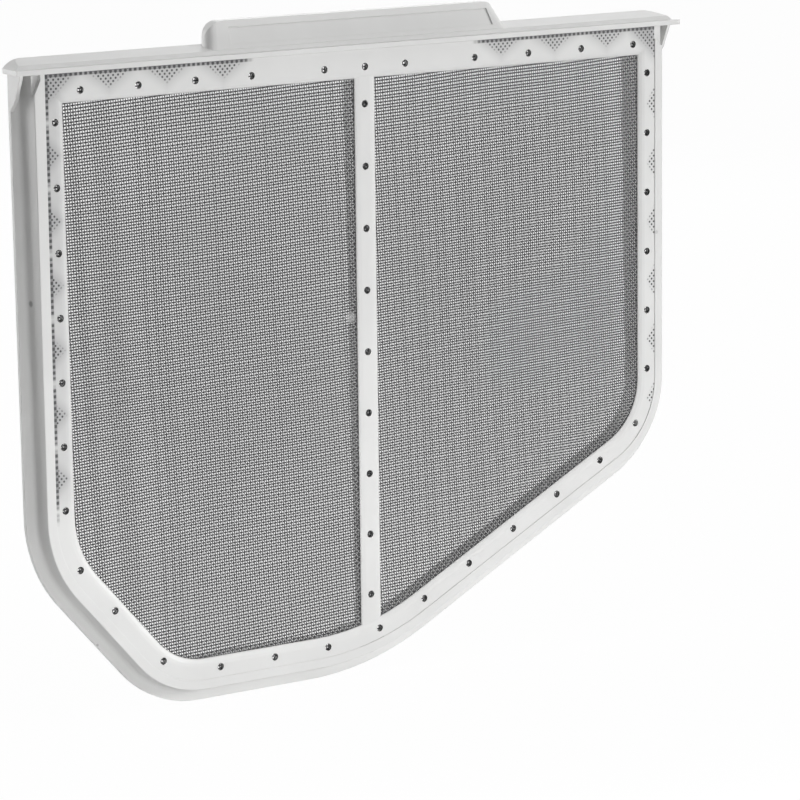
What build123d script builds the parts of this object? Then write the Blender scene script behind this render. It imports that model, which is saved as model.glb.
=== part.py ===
from build123d import *
import os

# Tumble dryer lint filter: a moulded frame that grips one woven screen.
# Millimetres. X runs across, the front faces -Y and Z runs up.
# The origin is the middle of the rail's seat, on the plane of the border's front face.

# Path of the mould pins round the border, which the whole outline grows from
pin_half_width = 143.3
left_drop = 190.1
foot_drop = 244.7
right_drop = 170.5
chamfer_run = 47.4
keel_x = -0.4
left_corner_radius = 42.0
foot_corner_radius = 32.0
keel_radius = 112.0
right_corner_radius = 33.0

# Outward lean of the left side's rim and window at the rail, against the upright row of pins
left_lean = 0.8

# Border plate, rim, outer wall and rear flange, as widths either side of the pin path
plate_thickness = 2.4
rim_height = 0.25
rim_inner_grow = 4.2
rim_outer_grow = 8.2
rim_edge_radius = 0.4
wall_draft = 0.1
wall_thickness = 1.8
wall_foot_radius = 1.6
flange_thickness = 1.8
flange_grow = 13.8

# Depth of the rear face: upright beside the gussets, then leaning in so that the filter is a slim wedge
rear_upright_drop = 13.8
rear_seat_depth = 11.8
rear_foot_depth = 7.9

# Reliefs in the rim's outer corners, just under the rail
relief_depth = 1.6
right_relief_reach = 4.3
right_relief_drop = 5.3
right_relief_run = 3.7
left_relief_reach = 2.1
left_relief_drop = 2.2
left_relief_run = 4.3

# Windows with their bevelled edge, and the inner wall that stands behind that edge
window_inset = 4.5
window_top_drop = 11.8
bevel_width = 3.3
bevel_break_depth = 0.15
top_bevel_width = 2.4
inner_wall_thickness = 1.8
bar_half_width = 5.0
bar_bevel_width = 2.5
bar_depth = 0.5
bar_break_depth = 0.62
bar_rib_half_width = 2.8

# Woven screen and the depth at which the plastic grips it
screen_depth = 0.9
screen_thickness = 0.7
screen_grow = 3.4
screen_top_drop = 0.8
web_thickness = 0.3
window_columns = 6
window_rows = 10
ridge_foot_width = 7.4
ridge_crest_width = 4.6
least_gap_share = 0.2

# Holes left by the mould pins that held the screen, faceted because there are so many
pin_hole_radius = 1.5
pin_hole_sides = 12
pin_pitch = 25.4
top_pin_drop = 7.1
top_middle_spacing = 19.55
top_left_first = 54.0
top_left_pitch = 25.97
top_left_count = 4
top_right_first = 54.1
top_right_pitch = 27.27
top_right_count = 4
left_pin_first = 18.9
left_pin_count = 7
left_corner_pin = 22.6
chamfer_pin = 16.6
foot_corner_pin = 6.8
foot_pin_first = 7.5
foot_pin_pitch = 26.0
foot_pin_count = 4
slope_pin_first = 2.8
slope_pin_pitch = 25.8
slope_pin_count = 5
right_corner_pin = 15.5
right_pin_first = 19.6
right_pin_count = 6
bar_pin_first = 22.2
bar_pin_count = 9

# Top rail: a plate with a front lip and a swelling behind it
rail_front_half_length = 160.0
rail_back_half_length = 158.4
rail_front = -1.2
rail_back = 13.1
lip_height = 2.0
lip_depth = 3.7
swell_front_height = 3.5
swell_back_height = 5.5
swell_step_run = 0.8
swell_end_run = 7.6
rail_grip = 0.4

# Gussets between the rail's ends and the flange
gusset_thickness = 1.4
gusset_front = 1.5
gusset_knee_depth = 5.9
gusset_knee_drop = 9.6
gusset_drop = 14.5

# Handle: a leaning hood with a bare sunk panel in front and a hollow back
handle_left_reach = 71.7
handle_right_reach = 74.4
handle_end_lean = 4.2
handle_top = 14.4
handle_front = 2.8
handle_lean = 7.2
handle_depth = 5.3
handle_front_radius = 3.8
handle_left_shoulder_radius = 9.0
handle_right_shoulder_radius = 6.0
handle_wall = 2.0
panel_left_reach = 60.0
panel_right_reach = 67.0
panel_start = 4.4
panel_height = 7.4
panel_depth = 0.5
panel_end_lean = 0.8

# Small overlap that lets one feature run cleanly into or out of another
run_out = 1.0

screen_back = screen_depth + screen_thickness
warp_pitch = (pin_half_width - window_inset - bar_half_width) / window_columns
weft_pitch = (foot_drop - window_inset - window_top_drop) / window_rows
deep = rear_seat_depth + run_out


def at_depth(sketch, depth):
    """Stand a flat sketch upright, facing the front, at a depth behind the border's face."""
    return Plane.XZ.offset(-depth) * sketch


def slab(sketch, front, back):
    """Prism of a sketch between two depths."""
    return extrude(at_depth(sketch, front), amount=back - front, dir=(0, 1, 0))


def tapered(front_sketch, front, back_sketch, back):
    """Solid that blends one outline into another between two depths."""
    return loft([at_depth(front_sketch, front), at_depth(back_sketch, back)], ruled=True)


def along_x(points, half_length):
    """Prism of a Y-Z outline, run along X to both sides of the middle."""
    section = Plane.YZ.offset(-half_length) * make_face(Polyline(*points, close=True))
    return extrude(section, amount=2 * half_length, dir=(1, 0, 0))


def pin_corners(top, lean):
    """Sharp corners of the pin path, from the top of the left side round to the top of the right."""
    return [
        Vector(-pin_half_width - lean * (1 + top / left_drop), top),
        Vector(-pin_half_width, -left_drop),
        Vector(-pin_half_width + chamfer_run, -foot_drop),
        Vector(keel_x, -foot_drop),
        Vector(pin_half_width, -right_drop),
        Vector(pin_half_width, top),
    ]


def outward(start, end):
    """Unit normal of a side, pointing away from the filter."""
    run = (end - start).normalized()
    return Vector(run.Y, -run.X)


def grown_path(grow, top=0.0, lean=0.0):
    """The pin path moved outward by a distance, its corner radii growing with it."""
    corners = pin_corners(top, lean)
    normals = [outward(a, b) for a, b in zip(corners, corners[1:])]
    moved = [corners[0] + Vector(grow / normals[0].X, 0)]
    for corner, before, after in zip(corners[1:-1], normals, normals[1:]):
        moved.append(corner + (before + after) * (grow / (1 + before.dot(after))))
    moved.append(corners[-1] + Vector(grow / normals[-1].X, 0))
    radii = [left_corner_radius, foot_corner_radius, keel_radius, right_corner_radius]
    return FilletPolyline(*moved, radius=[radius + grow for radius in radii])


def outline(grow, top=0.0, lean=left_lean):
    """Face inside the grown path, closed straight across its top."""
    path = grown_path(grow, top, lean)
    return make_face([path, Line(path @ 1, path @ 0)])


def wall_grow(depth):
    """Outward growth of the drafted outer wall at a depth."""
    return rim_outer_grow + wall_draft * (depth + rim_height)


def rear_depth(height):
    """Depth of the rear face at a height: even beside the gussets, less and less below them."""
    lean = (rear_seat_depth - rear_foot_depth) / (foot_drop - rear_upright_drop)
    return rear_seat_depth - lean * max(0.0, -rear_upright_drop - height)


def rear_layer(front_shift, back_shift):
    """Layer across the whole filter between two distances behind the rear face."""
    heights = [run_out, -rear_upright_drop, -foot_drop - flange_grow - run_out]
    front = [(rear_depth(height) + front_shift, height) for height in heights]
    back = [(rear_depth(height) + back_shift, height) for height in heights]
    return along_x(front + back[::-1], pin_half_width + flange_grow + run_out)


def window_sketches(inset, top_drop, half_gap):
    """The left and the right window at a given inset, either side of the centre bar."""
    whole = outline(-inset, -top_drop)
    reach = pin_half_width + foot_drop
    left = Pos(-half_gap - reach / 2, -foot_drop / 2) * Rectangle(reach, 2 * reach)
    right = Pos(half_gap + reach / 2, -foot_drop / 2) * Rectangle(reach, 2 * reach)
    return [whole & left, whole & right]


def edge_points(edge, first, pitch=0.0, count=1):
    """Points along one stretch of the pin path, running on past its end along the path."""
    path = grown_path(0.0)
    lengths = [side.length for side in path.edges()]
    start = sum(lengths[:edge])
    total = sum(lengths)
    return [path.position_at((start + first + k * pitch) / total) for k in range(count)]


def border_pins():
    """Pin positions on the border, in X and Z."""
    left_corner, chamfer, foot_corner, foot, slope, right_corner = 1, 2, 3, 4, 6, 7
    pins = edge_points(left_corner, left_corner_pin)
    pins += edge_points(chamfer, chamfer_pin)
    pins += edge_points(foot_corner, foot_corner_pin)
    pins += edge_points(foot, foot_pin_first, foot_pin_pitch, foot_pin_count)
    pins += edge_points(slope, slope_pin_first, slope_pin_pitch, slope_pin_count)
    pins += edge_points(right_corner, right_corner_pin)
    pins += [(-pin_half_width, -left_pin_first - k * pin_pitch) for k in range(left_pin_count)]
    pins += [(pin_half_width, -right_pin_first - k * pin_pitch) for k in range(right_pin_count)]
    pins += [(k * top_middle_spacing, -top_pin_drop) for k in (-1, 0, 1)]
    pins += [(-top_left_first - k * top_left_pitch, -top_pin_drop) for k in range(top_left_count)]
    pins += [(top_right_first + k * top_right_pitch, -top_pin_drop) for k in range(top_right_count)]
    return pins


def bar_pins():
    """Pin positions down the centre bar, in X and Z."""
    return [(0.0, -bar_pin_first - k * pin_pitch) for k in range(bar_pin_count)]


def pin_holes():
    """Round holes through the border plate and the bar's face."""
    spots = border_pins() + bar_pins()
    discs = Sketch() + [Pos(Vector(spot)) * RegularPolygon(pin_hole_radius, pin_hole_sides) for spot in spots]
    return slab(discs, -run_out, plate_thickness)


def at_wall_foot(edge):
    """Whether an edge is where the outer wall runs into the flange."""
    middle = edge @ 0.5
    depth = rear_depth(middle.Z) - flange_thickness
    near_wall = outline(wall_grow(deep) + run_out).face()
    return abs(middle.Y - depth) < run_out / 10 and near_wall.is_inside(Vector(middle.X, middle.Z))


def tray():
    """Border plate, rim, drafted outer wall and rear flange."""
    body = tapered(
        outline(rim_outer_grow, rail_grip), -rim_height,
        outline(wall_grow(deep), rail_grip), deep,
    )
    rim_front = body.faces().sort_by(Axis.Y)[0]
    round_edges = rim_front.edges().sort_by(Axis.Z)[:-1]
    body = fillet(round_edges, rim_edge_radius)
    body += slab(outline(flange_grow, rail_grip, lean=0), 0, deep) & rear_layer(-flange_thickness, 0)
    body -= rear_layer(0, deep)
    body = fillet(body.edges().filter_by(at_wall_foot), wall_foot_radius)
    body -= slab(outline(rim_inner_grow, lean=0), -rim_height - run_out, 0)
    return body - tapered(
        outline(wall_grow(plate_thickness) - wall_thickness), plate_thickness,
        outline(wall_grow(deep) - wall_thickness), deep,
    )


def inner_wall():
    """Wall behind the window edges, with the rib that backs the centre bar."""
    ring = outline(inner_wall_thickness - window_inset, inner_wall_thickness - window_top_drop)
    body = slab(ring, plate_thickness / 2, deep) - rear_layer(0, deep)
    for window in window_sketches(window_inset, window_top_drop, bar_rib_half_width):
        body -= slab(window, plate_thickness, deep)
    return body


def bevel_reach(width, start, depth):
    """How far a rounded bevel has come in at a depth, from flush at its start to its full width at the screen."""
    fall = screen_depth - start
    radius = (width ** 2 + fall ** 2) / (2 * fall)
    return (radius ** 2 - (radius - depth + start) ** 2) ** 0.5


def bevel_frame(depth):
    """Inset of the window's sides and drop of its top at a depth down the border's bevel."""
    inset = window_inset - bevel_width + bevel_reach(bevel_width, 0, depth)
    drop = window_top_drop - top_bevel_width + bevel_reach(top_bevel_width, 0, depth)
    return inset, drop


def bevel_opening(depth):
    """The whole opening inside the border's bevel at a depth in front of the centre bar."""
    inset, drop = bevel_frame(depth)
    return outline(-inset, -drop)


def bevel_panes(depth):
    """Both windows inside their bevels at a depth behind the centre bar's face."""
    inset, drop = bevel_frame(depth)
    bar_edge = bar_half_width - bar_bevel_width + bevel_reach(bar_bevel_width, bar_depth, depth)
    return window_sketches(inset, drop, bar_edge)


def windows():
    """The two openings through the plate, their edges rounding over in front."""
    cuts = []
    for near, far in ((0, bevel_break_depth), (bevel_break_depth, bar_depth)):
        cuts.append(tapered(bevel_opening(near), near, bevel_opening(far), far))
    for near, far in ((bar_depth, bar_break_depth), (bar_break_depth, screen_depth)):
        panes = zip(bevel_panes(near), bevel_panes(far))
        cuts += [tapered(front, near, back, far) for front, back in panes]
    bare = window_sketches(window_inset, window_top_drop, bar_half_width)
    return cuts + [slab(window, screen_depth, plate_thickness) for window in bare]


def relief(reach, drop, run):
    """Shallow cut in the rim's right corner: down beside the border, then out along a slope."""
    outer = pin_half_width + flange_grow
    inner = pin_half_width + rim_outer_grow - reach
    slope_end = outer - inner
    cut = make_face(Polyline(
        (inner, 0), (inner, -drop), (outer, -drop - run * slope_end / reach), (outer, 0), close=True,
    ))
    return slab(cut, -rim_height - run_out, relief_depth)


def reliefs():
    """The cuts in both of the rim's upper corners."""
    right = relief(right_relief_reach, right_relief_drop, right_relief_run)
    left = relief(left_relief_reach, left_relief_drop, left_relief_run)
    return right + mirror(left, Plane.YZ)


def rail():
    """Top rail: a tapering plate with a front lip, and a swelling that rounds down at both ends."""
    lip_back = rail_front + lip_depth
    plate = along_x(
        [(rail_front, 0), (rail_front, lip_height), (rail_back, lip_height), (rail_back, 0)],
        rail_front_half_length,
    )
    plan = make_face(Polyline(
        (-rail_front_half_length, rail_front), (rail_front_half_length, rail_front),
        (rail_back_half_length, rail_back), (-rail_back_half_length, rail_back), close=True,
    ))
    plate &= extrude(plan, amount=lip_height + run_out)
    swell = along_x(
        [(lip_back, rail_grip), (lip_back, lip_height), (lip_back + swell_step_run, swell_front_height),
         (rail_back, swell_back_height), (rail_back, rail_grip)],
        rail_back_half_length,
    )
    shoulder = rail_back_half_length - swell_end_run
    crown = Line((-shoulder, swell_back_height), (shoulder, swell_back_height))
    right_end = TangentArc(
        (shoulder, swell_back_height), (rail_back_half_length, lip_height), tangent=(1, 0)
    )
    right_side = Line((rail_back_half_length, lip_height), (rail_back_half_length, 0))
    ends = [right_end, right_side]
    base = Line((rail_back_half_length, 0), (-rail_back_half_length, 0))
    profile = make_face([crown, *ends, *[mirror(part, Plane.YZ) for part in ends], base])
    swell &= slab(profile, rail_front, rail_back + run_out)
    return plate + swell


def gussets():
    """Triangular webs that brace the rail's ends on the flange."""
    outer = pin_half_width + flange_grow
    web = make_face(Polyline(
        (gusset_front, rail_grip), (gusset_front, 0), (gusset_knee_depth, -gusset_knee_drop),
        (rear_depth(-gusset_drop) - flange_thickness, -gusset_drop),
        (rear_depth(-gusset_drop), -gusset_drop), (rear_depth(rail_grip), rail_grip), close=True,
    ))
    right = extrude(Plane.YZ.offset(outer - gusset_thickness) * web, amount=gusset_thickness, dir=(1, 0, 0))
    return right + mirror(right, Plane.YZ)


def handle_plan(left, right, front, back, radius):
    """Plan of the handle at one height: square at the back, softly rounded in front."""
    corners = [(-left, back), (-left, front), (right, front), (right, back)]
    return make_face(FilletPolyline(*corners, radius=[0, radius, radius, 0], close=True))


def handle_hood(wall):
    """Leaning hood of the handle, shrunk by a wall at its ends, its face and its top."""
    foot = lip_height - rail_grip
    front = handle_front + wall
    back = handle_front + handle_depth + (run_out if wall else 0)
    left = handle_left_reach - wall
    right = handle_right_reach - wall
    top_left = left - handle_end_lean
    top_right = right - handle_end_lean
    radius = handle_front_radius - wall
    hood = loft([
        Pos(0, 0, foot) * handle_plan(left, right, front, back, radius),
        Pos(0, 0, handle_top)
        * handle_plan(top_left, top_right, front + handle_lean, back + handle_lean, radius),
    ], ruled=True)
    crown = handle_top - wall
    shoulders = make_face(FilletPolyline(
        (-left, foot), (-top_left, crown), (top_right, crown), (right, foot),
        radius=[0, handle_left_shoulder_radius - wall, handle_right_shoulder_radius - wall, 0], close=True,
    ))
    return hood & slab(shoulders, rail_front, rail_back + handle_depth + handle_lean)


def handle():
    """Leaning hood with a sunk panel on its face and an open hollow behind."""
    foot = lip_height - rail_grip
    hollow = handle_hood(handle_wall)
    hollow -= along_x(
        [(rail_front, 0), (rail_front, swell_front_height), (rail_back, swell_back_height), (rail_back, 0)],
        rail_front_half_length,
    )
    rise = handle_top - foot
    face = Plane(origin=(0, handle_front, foot), x_dir=(1, 0, 0), z_dir=(0, -rise, handle_lean))
    panel = make_face(Polyline(
        (-panel_left_reach, panel_start), (panel_right_reach, panel_start),
        (panel_right_reach - panel_end_lean, panel_start + panel_height),
        (panel_end_lean - panel_left_reach, panel_start + panel_height), close=True,
    ))
    return handle_hood(0) - hollow - extrude(face * panel, amount=panel_depth, both=True)


def screen_sheet():
    """The whole sheet that the plastic grips, as cut from the roll."""
    return slab(outline(screen_grow, -screen_top_drop), screen_depth, screen_back)


def comb(count, pitch):
    """Section of a ridged web: its base line lies on the web's face, the ridges stand up from it."""
    crest = (screen_thickness - web_thickness) / 2
    points = [(-(count + 1) * pitch, -web_thickness)]
    for k in range(-count, count + 1):
        middle = k * pitch
        points += [(middle - ridge_foot_width / 2, 0), (middle - ridge_crest_width / 2, crest)]
        points += [(middle + ridge_crest_width / 2, crest), (middle + ridge_foot_width / 2, 0)]
    points += [((count + 1) * pitch, -web_thickness)]
    return make_face(Polyline(*points, close=True))


def gaps(core, side):
    """Open gaps between the ridges of one window, cut off where the cloth runs under its edge."""
    width = warp_pitch - ridge_foot_width
    height = weft_pitch - ridge_foot_width
    middle_x = side * (bar_half_width + window_columns * warp_pitch / 2)
    middle_z = -window_top_drop - window_rows * weft_pitch / 2
    places = Pos(middle_x, middle_z) * GridLocations(warp_pitch, weft_pitch, window_columns, window_rows)
    cells = Sketch() + [place * Rectangle(width, height) for place in places]
    least_area = least_gap_share * width * height
    return Sketch() + [face for face in (cells & core).faces() if face.area > least_area]


def weave(window, core, side):
    """Coarse cloth in one window: warp ridges in front, weft ridges behind, and open gaps between."""
    web_front = screen_depth + (screen_thickness - web_thickness) / 2
    web_back = web_front + web_thickness
    reach = foot_drop + pin_half_width
    pane = slab(window, screen_depth, screen_back)
    warp_plane = Plane(origin=(side * bar_half_width, web_front, -reach), x_dir=(1, 0, 0), z_dir=(0, 0, 1))
    warp_face = warp_plane * mirror(comb(window_columns, warp_pitch), Plane.XZ)
    warp = extrude(warp_face, amount=reach, dir=(0, 0, 1)) & pane
    weft_plane = Plane(origin=(-reach / 2, web_back, -window_top_drop), x_dir=(0, 0, 1), z_dir=(-1, 0, 0))
    weft_face = weft_plane * comb(window_rows, weft_pitch)
    weft = extrude(weft_face, amount=reach, dir=(1, 0, 0)) & pane
    return (warp + weft).clean() - slab(gaps(core, side), screen_depth - run_out, screen_back + run_out)


def mesh_screen():
    """One woven sheet: plain where the plastic grips it, ridged and open in the windows."""
    sheet = screen_sheet()
    edge = ridge_foot_width / 2
    panes = window_sketches(window_inset, window_top_drop, bar_half_width)
    cores = window_sketches(window_inset + edge, window_top_drop + edge, bar_half_width + edge)
    for window, core, side in zip(panes, cores, (-1, 1)):
        sheet -= slab(window, screen_depth - run_out, screen_back + run_out)
        sheet += weave(window, core, side)
    return sheet


def filter_frame():
    """The one-piece moulding, with the screen's place left free inside it."""
    body = tray() - reliefs() + inner_wall()
    for window in windows():
        body -= window
    body = body + rail() + gussets() + handle()
    return body - screen_sheet() - pin_holes()


os.makedirs("parts", exist_ok=True)
export_step(filter_frame(), "parts/filter_frame.step")
export_step(mesh_screen(), "parts/mesh_screen.step")
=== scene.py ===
"""Tumble dryer lint filter: finishes, woven screen, studio light and camera around the fixed solids."""

import logging
import math
from dataclasses import dataclass
from enum import Enum

import bpy
from mathutils import Euler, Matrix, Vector


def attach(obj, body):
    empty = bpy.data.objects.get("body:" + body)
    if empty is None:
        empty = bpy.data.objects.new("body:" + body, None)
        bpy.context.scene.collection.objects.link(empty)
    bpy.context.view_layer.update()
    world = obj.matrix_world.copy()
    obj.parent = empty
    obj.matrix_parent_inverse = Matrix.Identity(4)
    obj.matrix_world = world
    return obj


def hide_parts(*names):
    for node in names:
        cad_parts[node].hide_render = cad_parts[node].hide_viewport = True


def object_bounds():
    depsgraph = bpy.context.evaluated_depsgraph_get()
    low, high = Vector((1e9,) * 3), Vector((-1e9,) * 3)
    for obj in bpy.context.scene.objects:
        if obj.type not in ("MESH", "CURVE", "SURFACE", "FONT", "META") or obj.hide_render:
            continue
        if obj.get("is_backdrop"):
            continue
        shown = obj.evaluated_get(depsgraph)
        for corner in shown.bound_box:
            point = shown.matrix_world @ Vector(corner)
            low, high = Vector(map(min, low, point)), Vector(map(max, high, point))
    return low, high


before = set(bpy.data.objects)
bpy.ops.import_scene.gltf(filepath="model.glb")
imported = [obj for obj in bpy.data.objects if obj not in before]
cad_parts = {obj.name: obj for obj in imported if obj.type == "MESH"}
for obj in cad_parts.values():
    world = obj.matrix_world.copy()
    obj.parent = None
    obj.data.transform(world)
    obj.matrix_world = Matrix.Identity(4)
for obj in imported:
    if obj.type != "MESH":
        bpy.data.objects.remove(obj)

LOG = logging.getLogger("lint_filter")
MM = 0.001
BODY = "root"
LIFT = "lift"
WARP_SPACING = 1.105
WEFT_SPACING = 1.173
NOISE_LOW, NOISE_HIGH = 0.3, 0.7


def linear(hex_colour: str) -> tuple[float, float, float, float]:
    """Turn an sRGB hex colour into linear light.

    Args:
        hex_colour: Six hex digits after a hash sign.

    Returns:
        Red, green, blue and an alpha of one.
    """
    channels = [int(hex_colour[k:k + 2], 16) / 255 for k in (1, 3, 5)]
    red, green, blue = [c / 12.92 if c <= 0.04045 else ((c + 0.055) / 1.055) ** 2.4 for c in channels]
    return red, green, blue, 1.0


def add_node(tree: bpy.types.NodeTree, kind: str, inputs: dict | None = None,
             **settings: object) -> bpy.types.Node:
    """Add one node with its settings and links.

    Args:
        tree: The node tree that takes the node.
        kind: The node's type name.
        inputs: Values, or terms or sockets to link from, by the input's name or number.
        settings: Properties of the node, set before its inputs.

    Returns:
        The new node.
    """
    node = tree.nodes.new(kind)
    for name, value in settings.items():
        setattr(node, name, value)
    for key, value in (inputs or {}).items():
        source = value.socket if isinstance(value, Term) else value
        if isinstance(source, bpy.types.NodeSocket):
            tree.links.new(source, node.inputs[key])
        else:
            node.inputs[key].default_value = source
    return node


@dataclass(frozen=True)
class Term:
    """A number in a node tree, which takes part in sums as a plain number does."""

    tree: bpy.types.NodeTree
    socket: bpy.types.NodeSocket

    def work(self, operation: str, *values: "Term | bpy.types.NodeSocket | float") -> "Term":
        """Work out a number from terms, sockets and plain numbers.

        Args:
            operation: The sum's name.
            values: What goes into it, in order.

        Returns:
            The result.
        """
        node = add_node(self.tree, "ShaderNodeMath", dict(enumerate(values)), operation=operation)
        return Term(self.tree, node.outputs[0])

    def __add__(self, other: "Term | bpy.types.NodeSocket | float") -> "Term":
        """Add a number."""
        return self.work("ADD", self, other)

    def __sub__(self, other: "Term | bpy.types.NodeSocket | float") -> "Term":
        """Take a number away."""
        return self.work("SUBTRACT", self, other)

    def __rsub__(self, other: float) -> "Term":
        """Take this away from a number."""
        return self.work("SUBTRACT", other, self)

    def __mul__(self, other: "Term | bpy.types.NodeSocket | float") -> "Term":
        """Multiply by a number."""
        return self.work("MULTIPLY", self, other)

    def __truediv__(self, other: "Term | bpy.types.NodeSocket | float") -> "Term":
        """Divide by a number."""
        return self.work("DIVIDE", self, other)

    def __rtruediv__(self, other: float) -> "Term":
        """Divide a number by this."""
        return self.work("DIVIDE", other, self)

    def __neg__(self) -> "Term":
        """Turn the sign."""
        return self.work("MULTIPLY", self, -1.0)

    def __abs__(self) -> "Term":
        """Drop the sign."""
        return self.work("ABSOLUTE", self)

    def __gt__(self, other: float) -> "Term":
        """Give one where this is above a number and zero elsewhere."""
        return self.work("GREATER_THAN", self, other)

    def __lt__(self, other: float) -> "Term":
        """Give one where this is below a number and zero elsewhere."""
        return self.work("LESS_THAN", self, other)

    def fraction(self) -> "Term":
        """Keep what is past the whole number below."""
        return self.work("FRACT", self)


def largest(*terms: Term) -> Term:
    """Find the largest of some terms.

    Args:
        terms: The terms.

    Returns:
        The largest.
    """
    found = terms[0]
    for term in terms[1:]:
        found = found.work("MAXIMUM", found, term)
    return found


@dataclass(frozen=True)
class Fade:
    """A smooth change: the values at which it begins and is full, and what it gives there."""

    begin: float
    full: float
    least: float = 0.0
    most: float = 1.0

    def over(self, value: Term) -> Term:
        """Follow the change over a value.

        Args:
            value: The value.

        Returns:
            What the change gives there.
        """
        node = add_node(value.tree, "ShaderNodeMapRange", {
            0: value, 1: self.begin, 2: self.full, 3: self.least, 4: self.most,
        }, interpolation_type="SMOOTHSTEP")
        return Term(value.tree, node.outputs["Result"])


def overlaid(tree: bpy.types.NodeTree, base: str,
             layers: list[tuple[Term | bpy.types.NodeSocket, str]]) -> bpy.types.NodeSocket:
    """Lay colours over a base colour.

    Args:
        tree: The material's node tree.
        base: The base colour in hex.
        layers: How far each colour covers what is under it, and the colour.

    Returns:
        The colour on top.
    """
    colour: bpy.types.NodeSocket | tuple[float, ...] = linear(base)
    for cover, layer in layers:
        colour = add_node(tree, "ShaderNodeMix", {
            0: cover, 6: colour, 7: linear(layer),
        }, data_type="RGBA").outputs[2]
    return colour


def new_material(name: str) -> tuple[bpy.types.Material, bpy.types.NodeTree]:
    """Start a node material with nothing in it.

    Args:
        name: The material's name.

    Returns:
        The material and its empty node tree.
    """
    material = bpy.data.materials.new(name)
    material.use_nodes = True
    material.node_tree.nodes.clear()
    return material, material.node_tree


def flat_object(name: str, faces: list[list[Vector]], depth: float) -> bpy.types.Object:
    """Make an upright flat mesh object out of outlines.

    Args:
        name: The object's name.
        faces: Outlines in millimetres of X and Z.
        depth: Depth of the sheet behind the border's face, in millimetres.

    Returns:
        The object, linked to the scene.
    """
    points: list[tuple[float, float, float]] = []
    rings: list[list[int]] = []
    for outline in faces:
        rings.append(list(range(len(points), len(points) + len(outline))))
        points += [(p.x * MM, depth * MM, p.y * MM) for p in outline]
    mesh = bpy.data.meshes.new(name)
    mesh.from_pydata(points, [], rings)
    piece = bpy.data.objects.new(name, mesh)
    bpy.context.scene.collection.objects.link(piece)
    return piece


def run_tree(piece: bpy.types.Object, tree: bpy.types.GeometryNodeTree, values: dict) -> None:
    """Shape a piece by a geometry tree and keep the result as its plain mesh.

    Args:
        piece: The object that holds the tree's input geometry.
        tree: The geometry node group.
        values: Values of the group's inputs, by name.
    """
    modifier = piece.modifiers.new(tree.name, "NODES")
    modifier.node_group = tree
    for item in tree.interface.items_tree:
        if item.item_type == "SOCKET" and item.in_out == "INPUT" and item.name in values:
            modifier[item.identifier] = values[item.name]
    depsgraph = bpy.context.evaluated_depsgraph_get()
    shaped = bpy.data.meshes.new_from_object(piece.evaluated_get(depsgraph))
    piece.modifiers.clear()
    start = piece.data
    piece.data = shaped
    shaped.name = piece.name
    bpy.data.meshes.remove(start)


def report(piece: bpy.types.Object) -> None:
    """Log a finished piece with its triangle count."""
    triangles = sum(len(face.vertices) - 2 for face in piece.data.polygons)
    LOG.info("%s: %d triangles", piece.name, triangles)


class ThreadRun(Enum):
    """Which way a set of threads runs in the cloth."""

    WARP = "warp"
    WEFT = "weft"


@dataclass(frozen=True)
class PolyamideMonofilament:
    """Polyamide monofilament, drawn and plain woven: smooth dark threads, each with a thin bright glint,
    whose proud knuckles may be painted paler, partly as wear and partly as a painted highlight.
    """

    name: str
    colour: str = "#1C1C1E"
    worn_colour: str = "#29292B"
    knuckle_wear_and_highlight_colour: str = "#29292B"
    knuckle: Fade = Fade(0.0, 0.9)
    roughness: float = 0.34
    ior: float = 1.53
    mottle_mm: float = 6.0
    lint_colour: str = "#C9C9C9"
    lint_place: tuple[float, float, float] = (-7.75, 1.25, -109.0)
    lint_mm: Fade = Fade(3.2, 0.96, 0.0, 0.6)

    def build(self) -> bpy.types.Material:
        """Build the material.

        Returns:
            A material whose tone varies a little from patch to patch of the cloth, with a tuft of lint on it.
        """
        material, tree = new_material(self.name)
        place = add_node(tree, "ShaderNodeTexCoord").outputs["Object"]
        mottle = add_node(tree, "ShaderNodeTexNoise", {
            "Vector": place, "Scale": 1 / (self.mottle_mm * MM), "Detail": 4.0,
        })
        # The knuckles that stand proud of the cloth are paler: partly wear, partly a painted highlight where
        # they would catch the lamps
        lift = add_node(tree, "ShaderNodeAttribute", attribute_name=LIFT).outputs["Fac"]
        reach = add_node(tree, "ShaderNodeVectorMath", {
            0: place, 1: Vector(self.lint_place) * MM,
        }, operation="DISTANCE").outputs["Value"]
        colour = overlaid(tree, self.colour, [
            (mottle.outputs["Fac"], self.worn_colour),
            (self.knuckle.over(Term(tree, lift)), self.knuckle_wear_and_highlight_colour),
            (self.lint_mm.over(Term(tree, reach) / MM), self.lint_colour),
        ])
        shader = add_node(tree, "ShaderNodeBsdfPrincipled", {
            "Base Color": colour, "Roughness": self.roughness, "IOR": self.ior,
        })
        add_node(tree, "ShaderNodeOutputMaterial", {"Surface": shader.outputs["BSDF"]})
        return material


@dataclass(frozen=True)
class PaleFloor:
    """Matt white studio sheet: plain white to the eye, with the object's shadow left in it."""

    name: str = "studio_sheet_matt"
    colour: str = "#F4F4F4"
    whiteness: float = 0.98

    def build(self) -> bpy.types.Material:
        """Build the material.

        Returns:
            A material that is near white when seen and a plain matt white to the light.
        """
        material, tree = new_material(self.name)
        matt = add_node(tree, "ShaderNodeBsdfDiffuse", {"Color": linear(self.colour)})
        white = add_node(tree, "ShaderNodeEmission", {"Strength": 1.0})
        mixed = add_node(tree, "ShaderNodeMixShader", {
            0: seen_rays(tree) * self.whiteness, 1: matt.outputs[0], 2: white.outputs[0],
        })
        add_node(tree, "ShaderNodeOutputMaterial", {"Surface": mixed.outputs[0]})
        return material


def seen_rays(tree: bpy.types.NodeTree) -> Term:
    """Tell rays that show the backdrop from rays that light the object.

    Args:
        tree: A material's or the world's node tree.

    Returns:
        One for camera, glossy and transmission rays and zero for others.
    """
    path = add_node(tree, "ShaderNodeLightPath").outputs
    return largest(*(Term(tree, path[f"Is {kind} Ray"]) for kind in ("Camera", "Glossy", "Transmission")))


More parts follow.
